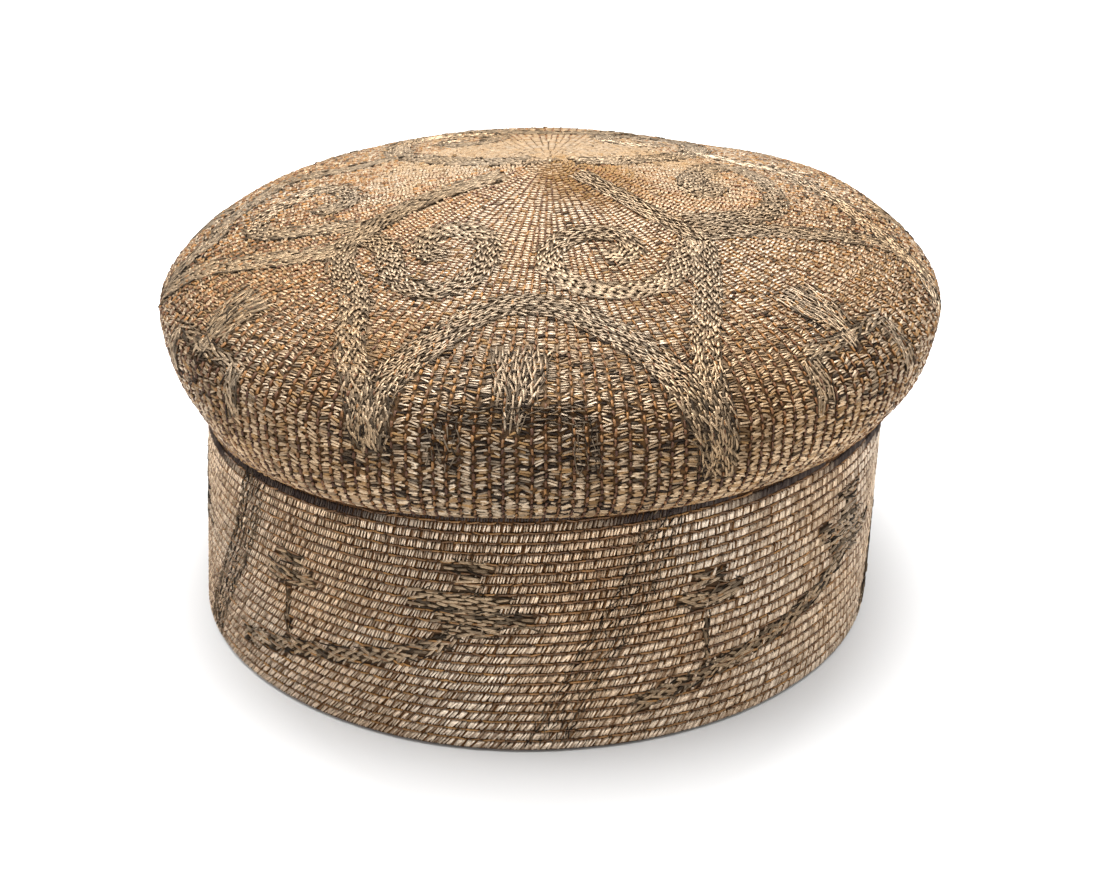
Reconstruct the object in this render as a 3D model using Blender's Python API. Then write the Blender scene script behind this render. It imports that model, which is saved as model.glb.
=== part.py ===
# Tubeteika skullcap: a puffed crown that overhangs an upright band.
# Metres, +Z up. The band's rim rests on z = 0, the front faces -Y, and the crown's centre is on the Z axis.
# Azimuth 0 is the front and grows towards +X.

import math
from collections import namedtuple

import bmesh
import bpy
import numpy as np

# Band
BAND_RADIUS = 0.0912  # outside, at the rim
BAND_TAPER = 0.0010  # the radius lost over the band's height
BAND_LEAN = 0.0030  # how far the top of the worn band stands to the right of its rim
BAND_WALL = 0.0030
BAND_HEIGHT = 0.0660  # the level that the seam's heights are shares of

# Crown
CROWN_WALL = 0.0030
CROWN_SHIFT = 0.0015  # the crown's centre stands this far to the right of the band's top
OVERHANG_SIDE = 0.0119  # how far the crown reaches out past the band's top
OVERHANG_FRONT = 0.0110
SHOULDER_SIDE = 0.0206  # from the band's height up to the widest line
SHOULDER_FRONT = 0.0186
CROWN_RISE = 0.0550  # from the band's height up to the peak
SEAM_GAP = 0.0003  # clearance between the crown and the band's top edge

# Mesh
SEGMENTS = 72
CROWN_RINGS = 20
BAND_RINGS = 5
SHARP_ANGLE = 40  # degrees

# The seam between band and crown dips at the sides. Azimuths are in degrees, up is a share of BAND_HEIGHT.
Seam = namedtuple("Seam", "azimuth up")
SEAM = (
    Seam(-180, 0.97),
    Seam(-135, 0.91),
    Seam(-90, 0.83),
    Seam(-62, 0.88),
    Seam(-35, 0.93),
    Seam(0, 0.985),
    Seam(35, 0.965),
    Seam(60, 0.92),
    Seam(90, 0.79),
    Seam(135, 0.91),
    Seam(180, 0.97),
)

# The crown's outline from the peak to the shoulder, its widest line.
# out: share of the crown's radius. up: share of the way from the shoulder's level to the peak.
Top = namedtuple("Top", "along side_out side_up front_out front_up")
CROWN_TOP = (
    Top(0.00, 0.000, 1.000, 0.000, 1.000),
    Top(0.06, 0.107, 0.930, 0.109, 0.935),
    Top(0.18, 0.341, 0.773, 0.346, 0.789),
    Top(0.33, 0.605, 0.605, 0.613, 0.632),
    Top(0.46, 0.820, 0.430, 0.830, 0.488),
    Top(0.57, 0.937, 0.244, 0.939, 0.330),
    Top(0.66, 1.000, 0.000, 1.000, 0.060),
)

# The crown's outline from below the shoulder to the seam.
# out: share of the overhang. up: share of the way from the seam to the shoulder's level.
Under = namedtuple("Under", "along side_out side_up front_out front_up")
CROWN_UNDER = (
    Under(0.77, 0.830, 0.675, 0.990, 0.600),
    Under(0.89, 0.290, 0.290, 0.590, 0.160),
    Under(1.00, 0.000, 0.000, 0.000, 0.000),
)

# Soft dents and bulges. Azimuths and widths are in degrees, depth is a share of the piece's radius,
# inwards where it is negative.
Dent = namedtuple("Dent", "azimuth along wide long depth")
CROWN_DENTS = (
    Dent(152, 0.46, 20, 0.14, -0.014),
    Dent(126, 0.58, 20, 0.12, 0.019),
    Dent(-128, 0.58, 22, 0.12, 0.008),
    Dent(-62, 0.30, 26, 0.12, -0.008),
    Dent(48, 0.36, 20, 0.12, -0.010),
    Dent(8, 0.30, 22, 0.10, -0.007),
    Dent(-34, 0.86, 24, 0.08, 0.012),
    Dent(92, 0.87, 22, 0.07, 0.034),
)
BAND_DENTS = (
    Dent(-40, 0.55, 14, 0.40, -0.010),
    Dent(-14, 0.35, 16, 0.35, 0.008),
    Dent(46, 0.60, 15, 0.40, -0.008),
    Dent(150, 0.50, 26, 0.40, -0.012),
    Dent(-120, 0.45, 22, 0.40, 0.010),
)

# Finish of the couched thread
GILT_COLOUR = (0.46, 0.27, 0.11)
SILVER_COLOUR = (0.44, 0.33, 0.24)
THREAD_METALLIC = 0.35
THREAD_ROUGHNESS = 0.5


def clear_scene():
    for old in list(bpy.data.objects):
        bpy.data.objects.remove(old, do_unlink=True)


def smooth_curve(knots, values, at):
    # A cubic through the rows of a table that never overshoots them.
    step = np.diff(knots)
    slope = np.diff(values) / step
    same_way = slope[1:] * slope[:-1] > 0
    inner = np.where(same_way, 2 * slope[1:] * slope[:-1] / np.where(same_way, slope[1:] + slope[:-1], 1), 0)
    tangent = np.concatenate([slope[:1], inner, slope[-1:]])
    i = min(max(int(np.searchsorted(knots, at)) - 1, 0), len(step) - 1)
    t = (at - knots[i]) / step[i]
    start = (1 + 2 * t) * (1 - t) ** 2 * values[i] + t * (1 - t) ** 2 * step[i] * tangent[i]
    end = t * t * (3 - 2 * t) * values[i + 1] + t * t * (t - 1) * step[i] * tangent[i + 1]
    return float(start + end)


def front_weight(azimuth):
    # 1 at the front and back, 0 at the sides
    return math.cos(azimuth) ** 2


def between(azimuth, side, front):
    return side + (front - side) * front_weight(azimuth)


def seam_height(azimuth):
    azimuths = [math.radians(row.azimuth) for row in SEAM]
    return BAND_HEIGHT * smooth_curve(azimuths, [row.up for row in SEAM], azimuth)


def band_point(azimuth, share, depth=0.0):
    # share runs from 0 at the rim to 1 at the seam; depth is measured inwards from the outside
    height = share * seam_height(azimuth)
    radius = BAND_RADIUS - BAND_TAPER * height / BAND_HEIGHT - depth
    centre = -CROWN_SHIFT - BAND_LEAN * (1 - share)
    return centre + radius * math.sin(azimuth), -radius * math.cos(azimuth), height


def crown_point(azimuth, along):
    # along runs from 0 at the peak to 1 at the seam
    seam_x, seam_y, seam_z = band_point(azimuth, 1)
    seam_z += SEAM_GAP
    seam_radius = math.hypot(seam_x + CROWN_SHIFT, seam_y)
    overhang = between(azimuth, OVERHANG_SIDE, OVERHANG_FRONT)
    shoulder = BAND_HEIGHT + between(azimuth, SHOULDER_SIDE, SHOULDER_FRONT)
    peak = BAND_HEIGHT + CROWN_RISE
    knots, radii, heights, shifts = [], [], [], []
    for row in CROWN_TOP:
        knots.append(row.along)
        radii.append((seam_radius + overhang) * between(azimuth, row.side_out, row.front_out))
        heights.append(shoulder + (peak - shoulder) * between(azimuth, row.side_up, row.front_up))
        shifts.append(0.0)
    for row in CROWN_UNDER:
        out = between(azimuth, row.side_out, row.front_out)
        knots.append(row.along)
        radii.append(seam_radius + overhang * out)
        heights.append(seam_z + (shoulder - seam_z) * between(azimuth, row.side_up, row.front_up))
        shifts.append(-CROWN_SHIFT * (1 - out))
    radius = smooth_curve(knots, radii, along)
    height = smooth_curve(knots, heights, along)
    shift = smooth_curve(knots, shifts, along)
    return shift + radius * math.sin(azimuth), -radius * math.cos(azimuth), height


def first_ring(bm, along, point):
    # A circle whose vertices keep their azimuth and their place along the outline in two layers.
    # Later rings are extruded from it and inherit both.
    bm.verts.layers.float.new("azimuth")
    bm.verts.layers.float.new("along")
    ring = bmesh.ops.create_circle(bm, segments=SEGMENTS, radius=1.0)["verts"]
    for vertex in ring:
        vertex[layer(bm, "azimuth")] = math.atan2(vertex.co.x, -vertex.co.y)
    place_ring(bm, ring, along, point)
    return list(bm.edges)


def layer(bm, name):
    return bm.verts.layers.float[name]


def place_ring(bm, ring, along, point):
    for vertex in ring:
        vertex.co = point(vertex[layer(bm, "azimuth")])
        vertex[layer(bm, "along")] = along


def next_ring(bm, edges, along, point):
    made = bmesh.ops.extrude_edge_only(bm, edges=edges)["geom"]
    ring = [part for part in made if isinstance(part, bmesh.types.BMVert)]
    place_ring(bm, ring, along, point)
    edges = [part for part in made if isinstance(part, bmesh.types.BMEdge) and part.is_boundary]
    return edges, ring


def angle_apart(first, second):
    return abs((first - second + math.pi) % (2 * math.pi) - math.pi)


def press_dents(bm, ring_verts, dents, radius):
    # The moves are worked out for all the vertices before any of them moves.
    bm.normal_update()
    moves = []
    for vertex in ring_verts:
        depth = 0.0
        for dent in dents:
            turn = angle_apart(vertex[layer(bm, "azimuth")], math.radians(dent.azimuth))
            turn /= math.radians(dent.wide)
            run = (vertex[layer(bm, "along")] - dent.along) / dent.long
            depth += dent.depth * radius * math.exp(-turn * turn - run * run)
        moves.append(vertex.normal * depth)
    for vertex, move in zip(ring_verts, moves):
        vertex.co += move


def finish_piece(bm, name, colour):
    bmesh.ops.recalc_face_normals(bm, faces=bm.faces)
    mesh = bpy.data.meshes.new(name)
    bm.to_mesh(mesh)
    bm.free()
    mesh.shade_smooth()
    mesh.set_sharp_from_angle(angle=math.radians(SHARP_ANGLE))
    piece = bpy.data.objects.new(name, mesh)
    bpy.context.scene.collection.objects.link(piece)
    material = bpy.data.materials.new(name + "_thread")
    material.use_nodes = True
    shader = material.node_tree.nodes["Principled BSDF"]
    shader.inputs["Base Color"].default_value = (*colour, 1.0)
    shader.inputs["Metallic"].default_value = THREAD_METALLIC
    shader.inputs["Roughness"].default_value = THREAD_ROUGHNESS
    mesh.materials.append(material)
    return piece


def make_band():
    bm = bmesh.new()
    shares = [ring / BAND_RINGS for ring in range(BAND_RINGS + 1)]
    edges = first_ring(bm, 0.0, lambda angle: band_point(angle, 0))
    for share in shares[1:]:
        edges, ring = next_ring(bm, edges, share, lambda angle: band_point(angle, share))
    # The rim and the seam stay true, so that the band rests flat and the crown seats on it.
    bmesh.ops.recalc_face_normals(bm, faces=bm.faces)
    loose = [vertex for vertex in bm.verts if 0.01 < vertex[layer(bm, "along")] < 0.99]
    press_dents(bm, loose, BAND_DENTS, BAND_RADIUS)
    outside = {}
    for vertex in bm.verts:
        outside[ring_key(vertex[layer(bm, "azimuth")], vertex[layer(bm, "along")])] = vertex.co.copy()
    for share in reversed(shares):
        edges, ring = next_ring(bm, edges, share, lambda angle: inside_band(outside, angle, share))
    bmesh.ops.bridge_loops(bm, edges=[edge for edge in bm.edges if edge.is_boundary])
    return finish_piece(bm, "band", SILVER_COLOUR)


def ring_key(azimuth, share):
    return round(azimuth, 4), round(share, 4)


def inside_band(outside, azimuth, share):
    x, y, z = outside[ring_key(azimuth, share)]
    return x - BAND_WALL * math.sin(azimuth), y + BAND_WALL * math.cos(azimuth), z


def ledge_point(azimuth):
    # The inner edge of the crown, over the inner edge of the band's top
    x, y, z = band_point(azimuth, 1, BAND_WALL)
    return x, y, z + SEAM_GAP


def make_crown():
    bm = bmesh.new()
    edges = first_ring(bm, 1.0, ledge_point)
    for step in range(CROWN_RINGS, -1, -1):
        along = step / CROWN_RINGS
        edges, ring = next_ring(bm, edges, along, lambda angle: crown_point(angle, along))
    bmesh.ops.pointmerge(bm, verts=ring, merge_co=crown_point(0, 0))
    bmesh.ops.recalc_face_normals(bm, faces=bm.faces)
    loose = [vertex for vertex in bm.verts if vertex[layer(bm, "along")] < 0.99]
    press_dents(bm, loose, CROWN_DENTS, BAND_RADIUS + OVERHANG_SIDE)
    piece = finish_piece(bm, "crown", GILT_COLOUR)
    wall = piece.modifiers.new("Wall", "SOLIDIFY")
    wall.thickness = CROWN_WALL
    wall.offset = -1
    wall.use_even_offset = True
    return piece


clear_scene()
make_band()
make_crown()
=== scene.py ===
import math

import bmesh
import bpy
import numpy as np
from mathutils import Matrix, Vector
from mathutils.kdtree import KDTree


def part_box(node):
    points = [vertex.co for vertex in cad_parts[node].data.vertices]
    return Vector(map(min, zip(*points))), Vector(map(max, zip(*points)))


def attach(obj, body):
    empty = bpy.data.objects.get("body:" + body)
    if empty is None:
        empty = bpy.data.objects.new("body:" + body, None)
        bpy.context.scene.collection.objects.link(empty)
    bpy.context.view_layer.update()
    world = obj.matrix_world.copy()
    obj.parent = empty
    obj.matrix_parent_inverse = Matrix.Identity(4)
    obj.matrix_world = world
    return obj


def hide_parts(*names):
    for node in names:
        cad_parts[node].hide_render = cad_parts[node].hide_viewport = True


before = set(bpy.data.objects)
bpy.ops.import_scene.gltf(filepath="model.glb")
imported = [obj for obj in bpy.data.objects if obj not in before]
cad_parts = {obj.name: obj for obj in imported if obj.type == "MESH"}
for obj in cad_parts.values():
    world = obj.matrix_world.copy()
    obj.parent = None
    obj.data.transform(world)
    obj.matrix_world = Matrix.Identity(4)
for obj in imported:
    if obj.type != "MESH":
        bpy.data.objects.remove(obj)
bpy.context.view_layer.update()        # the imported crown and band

randomDraw = np.random.default_rng(31)
mm = 0.001

# Form of the cap. The overall sizes come from the frame, and every table below is in shares of them.
crownLow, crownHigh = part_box("crown")
bandLow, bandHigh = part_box("band")
capForm = {
    "bandRadius": bandHigh.y,
    "bandTaper": 1.0 * mm,
    "bandLean": 3.0 * mm,           # the top of the band stands this far to the right of its rim
    "crownShift": 1.5 * mm,         # and the crown this far to the right of that
    "peakHeight": crownHigh.z,
    "crownRise": 55.0 * mm,         # from the band's height up to the peak
    "overhangSide": 11.9 * mm,
    "overhangFront": 11.0 * mm,
    "shoulderSide": 20.6 * mm,
    "shoulderFront": 18.6 * mm,
    "clothDepth": 0.45 * mm,        # the cloth lies this far under the tops of the threads
    "clothWall": 2.1 * mm,
    "rimLift": 0.3 * mm,
}
bandHeight = capForm["peakHeight"] - capForm["crownRise"]

# azimuth in degrees, 0 at the front and growing to the right; up as a share of the band's height
seamTable = ((-180, 0.97), (-135, 0.91), (-90, 0.83), (-62, 0.88), (-35, 0.93), (0, 0.985),
             (35, 0.965), (60, 0.92), (90, 0.79), (135, 0.91), (180, 0.97))
# along, side out, side up, front out, front up: the crown from its peak to its widest line
topTable = ((0.00, 0.000, 1.000, 0.000, 1.000), (0.06, 0.107, 0.930, 0.109, 0.935),
            (0.18, 0.341, 0.773, 0.346, 0.789), (0.33, 0.605, 0.605, 0.613, 0.632),
            (0.46, 0.820, 0.430, 0.830, 0.488), (0.57, 0.937, 0.244, 0.939, 0.330),
            (0.66, 1.000, 0.000, 1.000, 0.060))
# the same below the widest line, out as a share of the overhang
underTable = ((0.77, 0.830, 0.675, 0.990, 0.600), (0.89, 0.290, 0.290, 0.590, 0.160),
              (1.00, 0.000, 0.000, 0.000, 0.000))
# azimuth, along, wide, long, depth as a share of the radius
crownDents = ((152, 0.46, 20, 0.14, -0.014), (126, 0.58, 20, 0.12, 0.019), (-128, 0.58, 22, 0.12, 0.008),
              (-62, 0.30, 26, 0.12, -0.008), (48, 0.36, 20, 0.12, -0.010), (8, 0.30, 22, 0.10, -0.007),
              (-34, 0.86, 24, 0.08, 0.012), (92, 0.87, 22, 0.07, 0.034))
bandDents = ((-40, 0.55, 14, 0.40, -0.010), (-14, 0.35, 16, 0.35, 0.008), (46, 0.60, 15, 0.40, -0.008),
             (150, 0.50, 26, 0.40, -0.012), (-120, 0.45, 22, 0.40, 0.010))


def throughRows(knots, values, at):    # a cubic through a table's rows that never overshoots them
    knots = np.asarray(knots, float)
    values = np.asarray(values, float)
    if values.ndim == 1:
        values = np.repeat(values[:, None], at.size, axis=1)
    step = np.diff(knots)[:, None]
    slope = np.diff(values, axis=0) / step
    product = slope[1:] * slope[:-1]
    total = np.where(product > 0, slope[1:] + slope[:-1], 1)
    inner = np.where(product > 0, 2 * product / total, 0)
    tangent = np.concatenate([slope[:1], inner, slope[-1:]])
    row = np.clip(np.searchsorted(knots, at) - 1, 0, len(knots) - 2)
    column = np.arange(at.size)
    width = step[row, 0]
    t = (at - knots[row]) / width
    start = (1 - t) ** 2 * ((1 + 2 * t) * values[row, column] + t * width * tangent[row, column])
    end = t * t * ((3 - 2 * t) * values[row + 1, column] + (t - 1) * width * tangent[row + 1, column])
    return start + end


def wrapped(angle):
    return (angle + math.pi) % (2 * math.pi) - math.pi


def sideToFront(azimuth, side, front):
    return side + (front - side) * np.cos(azimuth) ** 2


def seamHeight(azimuth):
    knots = [math.radians(row[0]) for row in seamTable]
    return bandHeight * throughRows(knots, [row[1] for row in seamTable], wrapped(azimuth))


def bandPoint(azimuth, share):
    height = share * seamHeight(azimuth)
    radius = capForm["bandRadius"] - capForm["bandTaper"] * height / bandHeight
    centre = -capForm["crownShift"] - capForm["bandLean"] * (1 - share)
    return np.stack([centre + radius * np.sin(azimuth), -radius * np.cos(azimuth), height], axis=-1)


def crownPoint(azimuth, along):
    seam = bandPoint(azimuth, np.ones_like(azimuth))
    seamRadius = np.hypot(seam[:, 0] + capForm["crownShift"], seam[:, 1])
    overhang = sideToFront(azimuth, capForm["overhangSide"], capForm["overhangFront"])
    shoulder = bandHeight + sideToFront(azimuth, capForm["shoulderSide"], capForm["shoulderFront"])
    knots, radii, heights, shifts = [], [], [], []
    for share, sideOut, sideUp, frontOut, frontUp in topTable:
        knots.append(share)
        radii.append((seamRadius + overhang) * sideToFront(azimuth, sideOut, frontOut))
        heights.append(shoulder + (capForm["peakHeight"] - shoulder) * sideToFront(azimuth, sideUp, frontUp))
        shifts.append(np.zeros_like(azimuth))
    for share, sideOut, sideUp, frontOut, frontUp in underTable:
        out = sideToFront(azimuth, sideOut, frontOut)
        knots.append(share)
        radii.append(seamRadius + overhang * out)
        heights.append(seam[:, 2] + (shoulder - seam[:, 2]) * sideToFront(azimuth, sideUp, frontUp))
        shifts.append(-capForm["crownShift"] * (1 - out))
    radius = throughRows(knots, radii, along)
    shift = throughRows(knots, shifts, along)
    height = throughRows(knots, heights, along)
    return np.stack([shift + radius * np.sin(azimuth), -radius * np.cos(azimuth), height], axis=-1)


def unit(vectors):
    return vectors / np.maximum(np.linalg.norm(vectors, axis=-1, keepdims=True), 1e-9)


def surfaceGrid(point, dents, radius, turns=720, rows=360):
    # Places and directions of a dented surface, worked out once on a fine grid and read from it later.
    azimuths = np.linspace(-math.pi, math.pi, turns + 1)
    shares = np.linspace(0, 1, rows + 1)
    azimuth, share = (grid.ravel() for grid in np.meshgrid(azimuths, shares, indexing="ij"))
    place = point(azimuth, share).reshape(turns + 1, rows + 1, 3)

    def directions():
        ring = np.concatenate([place[-2:-1], place, place[1:2]])
        around = unit(ring[2:] - ring[:-2])
        downward = unit(np.gradient(place, axis=1))
        around[:, 0] = around[:, 1]
        normal = unit(np.cross(around, downward))
        if (normal * place)[..., :2].sum() < 0:
            normal = -normal
        return around, downward, normal

    normal = directions()[2]
    depth = np.zeros(azimuth.size)
    for dentAzimuth, dentShare, wide, long, amount in dents:
        turn = np.abs(wrapped(azimuth - math.radians(dentAzimuth))) / math.radians(wide)
        depth += amount * radius * np.exp(-turn ** 2 - ((share - dentShare) / long) ** 2)
    place = place + normal * depth.reshape(turns + 1, rows + 1, 1)
    around, downward, normal = directions()
    layers = np.concatenate([place, around, downward, normal], axis=-1)
    return {"turns": turns, "rows": rows, "layers": layers}


def onSurface(grid, azimuth, share):
    # place, direction around, direction from peak or rim along the outline, and normal
    column = (wrapped(azimuth) + math.pi) / (2 * math.pi) * grid["turns"]
    row = np.clip(share, 0, 1) * grid["rows"]
    i = np.minimum(column.astype(int), grid["turns"] - 1)
    j = np.minimum(row.astype(int), grid["rows"] - 1)
    u, v = (column - i)[:, None], (row - j)[:, None]
    layers = grid["layers"]
    mixed = (layers[i, j] * (1 - u) * (1 - v) + layers[i + 1, j] * u * (1 - v)
             + layers[i, j + 1] * (1 - u) * v + layers[i + 1, j + 1] * u * v)
    return mixed[:, 0:3], unit(mixed[:, 3:6]), unit(mixed[:, 6:9]), unit(mixed[:, 9:12])


crownGrid = surfaceGrid(crownPoint, crownDents, capForm["bandRadius"] + capForm["overhangSide"])
bandGrid = surfaceGrid(bandPoint, bandDents, capForm["bandRadius"])
outline = crownGrid["layers"][:, :, 0:3]
reachSteps = np.linalg.norm(np.diff(outline, axis=1), axis=-1).mean(axis=0)
crownReach = np.concatenate([[0], np.cumsum(reachSteps)])    # mean distance from the peak, over the cloth
crownShares = np.linspace(0, 1, len(crownReach))
print("surfaces: crown outline", round(crownReach[-1] / mm), "mm from peak to seam")


def clothScales(grid, azimuth, share):
    # metres of cloth to one radian around, and to one whole share along the outline
    step = 0.004
    share = np.clip(share, step, 1 - step)
    acrossTurn = onSurface(grid, azimuth + step, share)[0] - onSurface(grid, azimuth - step, share)[0]
    acrossShare = onSurface(grid, azimuth, share + step)[0] - onSurface(grid, azimuth, share - step)[0]
    lengths = [np.linalg.norm(move, axis=-1) for move in (acrossTurn, acrossShare)]
    return [np.maximum(length / (2 * step), 1e-4) for length in lengths]


def threadForm(sides, rings, blunt):
    # A spindle along X with one ridge up, as arrays of points and triangles.
    form = bmesh.new()
    bmesh.ops.create_uvsphere(form, u_segments=sides, v_segments=rings, radius=1)
    bmesh.ops.triangulate(form, faces=form.faces)
    bmesh.ops.recalc_face_normals(form, faces=form.faces)
    form.verts.index_update()
    points = np.array([(vertex.co.z, vertex.co.y, vertex.co.x) for vertex in form.verts])
    points[:, 0] = np.sign(points[:, 0]) * np.abs(points[:, 0]) ** blunt
    faces = np.array([[vertex.index for vertex in face.verts] for face in form.faces])[:, ::-1]
    form.free()
    return points, faces


strandForm = threadForm(3, 3, 0.7)


def linked(name, data):
    piece = bpy.data.objects.new(name, data)
    bpy.context.scene.collection.objects.link(piece)
    return piece


def joinThreads(name, place, lengthwise, normal, sizes, look):
    # sizes: half length, half width, half height, bend down and sag aside of each copy.
    # look: its tone, its tarnish with painted shade, and its dye with painted shade under the lip.
    points, faces = strandForm
    copies = len(place)
    sizes = np.broadcast_to(sizes, (copies, 5))
    across = np.cross(normal, lengthwise)
    x, y, z = points.T
    rise = sizes[:, 2:3] * z - sizes[:, 3:4] * x ** 2
    aside = sizes[:, 1:2] * y - sizes[:, 4:5] * x ** 2
    cloud = place[:, None] + lengthwise[:, None] * (sizes[:, 0:1] * x)[..., None]
    cloud = cloud + across[:, None] * aside[..., None] + normal[:, None] * rise[..., None]
    corners = (faces[None] + (np.arange(copies) * len(points))[:, None, None]).ravel()
    mesh = bpy.data.meshes.new(name)
    mesh.vertices.add(copies * len(points))
    mesh.vertices.foreach_set("co", cloud.astype(np.float32).ravel())
    mesh.loops.add(len(corners))
    mesh.loops.foreach_set("vertex_index", corners.astype(np.int32))
    mesh.polygons.add(len(corners) // 3)
    mesh.polygons.foreach_set("loop_start", np.arange(0, len(corners), 3, dtype=np.int32))
    mesh.update(calc_edges=True)
    colour = np.ones((copies, len(points), 4), np.float32)
    colour[:, :, 0:3] = look[:, None]
    mesh.attributes.new("thread", "FLOAT_COLOR", "POINT").data.foreach_set("color", colour.ravel())
    inside = np.broadcast_to(points.astype(np.float32), (copies, *points.shape))
    mesh.attributes.new("lay", "FLOAT_VECTOR", "POINT").data.foreach_set("vector", inside.ravel())
    mesh.shade_smooth()
    return linked(name, mesh)


def softNoise(azimuth, share, seed, cells=9):
    # a slow random wave over the cloth, from -1 to 1, that meets itself at the back
    draw = np.random.default_rng(seed)
    total = np.zeros_like(azimuth)
    for wave in range(1, cells):
        phase = draw.uniform(0, 2 * math.pi, 2)
        total += np.sin(wave * azimuth + phase[0]) * np.cos(wave * 1.9 * share + phase[1]) / math.sqrt(wave)
    return np.clip(total / 2.2, -1, 1)


# Embroidery
# Crown lines are charted in millimetres over the cloth from the peak: to the right, to the back.
stemLeft = ((-12, -3.5), (-19, -5), (-28, -7), (-36, -11), (-43, -16), (-49, -22), (-53, -28))
stemRight = ((7, -5), (11, -8), (17, -13), (25, -20), (31, -25), (38, -31))
limbFront = ((-53, -28), (-53, -37), (-50.5, -47), (-48, -56), (-48, -68), (-48, -78), (-46.5, -88),
             (-47, -104))
limbSide = ((-55, -28), (-65, -28), (-75, -26), (-85, -22), (-95, -18), (-106, -14))
limbMiddle = ((38, -31), (39, -42), (38.5, -56), (37.5, -68), (36.5, -80), (38, -90), (42, -100), (46, -109))
limbRight = ((38, -29), (46, -24), (56, -20), (66, -17), (76, -14), (88, -10), (98, -12), (106, -15))
hornFront = ((-48, -24), (-42, -32), (-40, -42), (-38, -50), (-32, -56), (-25, -57), (-19, -52), (-16, -45),
             (-16, -37), (-21, -31), (-28, -29), (-32, -33), (-31, -39), (-26, -41))
hornMiddle = ((37, -31), (34, -40), (31, -49), (25, -56), (16, -59), (7, -57), (1, -51), (0, -43),
              (4, -37), (11, -34), (18, -35), (20, -41), (15, -45))
hornSide = ((-49, -17), (-60, -13.5), (-68, -12), (-75, -9), (-78.5, -1), (-76.5, 7), (-72, 12),
            (-66, 18), (-59, 16.5), (-54.5, 9), (-54, 2), (-58, -1.5), (-62, 3))
hornRight = ((35, -22), (44, -18), (52, -13), (58.5, -7), (61, 1.5), (60, 15), (57, 23), (51, 27.5),
             (45, 24), (40.5, 14), (38, 6), (38, -1.5), (42, -1), (46, 8))
stemBack = ((-6, 4), (-16, 11), (-24, 19), (-33, 29), (-42, 42))
limbLeft = ((-42, 42), (-52, 36.5), (-63, 36), (-74, 37), (-80, 27), (-85, 18), (-89, 10), (-91, 0),
            (-98, -7), (-107, -13))
limbRightBack = ((42, 42), (54, 38), (67, 35), (73, 24), (80, 15), (87, 1), (94, -9), (101, -17),
                 (107, -26))
limbBack = ((-42, 42), (-44, 56), (-41, 72), (-42, 88), (-47, 106))
hornBack = ((-41, 45), (-42, 58), (-37, 66), (-28, 69), (-18, 65), (-14, 56), (-18, 48), (-25, 47),
            (-29, 53), (-25, 58))
archFront = ((-46, -104), (-42, -93), (-36, -86), (-28, -79), (-20, -71), (-13, -66), (-5, -65), (3, -67),
             (11, -73), (19, -80), (27, -88), (34, -96), (41, -104), (46, -112))


def turned(points, degrees, flip=False):
    cosine, sine = math.cos(math.radians(degrees)), math.sin(math.radians(degrees))
    pairs = [(-x if flip else x, y) for x, y in points]
    return tuple((x * cosine - y * sine, x * sine + y * cosine) for x, y in pairs)


looseEnds = ((-7, -1), (-4, 0.5), (-1, -0.5), (2, 1))
# path, width in millimetres, and how far its stitches lean
crownLines = (
    (stemLeft, 7.0, 0.16), (limbFront, 7.0, 0.16), (limbSide, 7.5, 0.18), (hornFront, 6.0, 0.34),
    (hornSide, 6.0, 0.34), (stemRight, 6.5, 0.14), (limbMiddle, 7.0, 0.12), (limbRight, 6.5, 0.16),
    (hornMiddle, 6.0, 0.34), (hornRight, 6.0, 0.34), (archFront, 8.5, 0.16), (stemBack, 6.0, 0.16),
    (limbLeft, 6.5, 0.18), (limbBack, 7.0, 0.18), (hornBack, 6.0, 0.34), (limbRightBack, 6.5, 0.16),
    (turned(stemBack, 0, True), 6.0, 0.16), (turned(limbBack, 2, True), 7.0, 0.18),
    (turned(hornBack, -2, True), 6.0, 0.34), (turned(archFront, 183), 8.0, 0.16), (looseEnds, 1.0, 1.0),
)
# a trefoil: azimuth and along of its middle, and lean of its leaf in millimetres
trefoilSpots = ((-4.5, 0.555, 0), (-57.5, 0.565, -1.5), (49.5, 0.51, 1.5), (-104, 0.60, 0), (104, 0.60, 0),
                (-137, 0.57, 0), (139, 0.57, 0), (179, 0.56, 0))
wornTrefoil = -4.5      # the azimuth of the one whose foot is worn to dark cracks
# its lines in millimetres from there, right and down, and their widths
trefoilLeaf = (((-6, -12.5), (-3, 1), 4.6), ((0, -13), (-1, 6), 4.6), ((5.5, -12.5), (2, 1), 4.6))
trefoilFoot = (((-17, 5), (15, 4.5), 3.4), ((-15.5, 6), (-16, 17), 6.0), ((14, 5), (15, 18), 5.0))
trefoilLean = 0.1
# azimuth, along, reach in millimetres and strength: of darker places, the wide one low on the front of the
# crown being painted shade; of paler threads, painted light on the rim at the right; of duller stitches; and
# of places where the silk shows
darkerAndShadedSpots = ((-5, 0.66, 18, 0.45), (-24, 0.66, 8, 0.5), (22, 0.68, 9, 0.6), (-57, 0.66, 14, 0.6),
                (52, 0.62, 13, 0.35), (-78, 0.55, 12, 0.3), (86, 0.52, 12, 0.1), (0, 0.84, 40, 0.3))
paintedLightSpots = ((40, 0.74, 22, 0.20),)
dullSpots = ((-4.5, 0.48, 13, 0.7), (-21, 0.23, 12, 0.45), (-73, 0.195, 14, 0.35), (44, 0.30, 14, 0.25))
silkSpots = ((70, 0.07, 16, 1.6), (-30, 0.50, 14, 0.30), (30, 0.62, 16, 0.35), (-66, 0.45, 22, 0.45),
             (66, 0.48, 22, 0.40), (-45, 0.76, 22, 0.35), (118, 0.30, 20, 0.25))
bandSpots = ((-46, 0.72, 13, 0.3), (8, 0.78, 10, 0.30), (-28, 0.60, 9, 0.15), (30, 0.30, 12, 0.3),
             (-60, 0.45, 14, 0.1))
# painted light on the band: paler threads at the front left, and a little at the front
bandPaintedLight = ((-40, 0.55, 26, 0.25), (0, 0.5, 20, 0.08))
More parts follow.
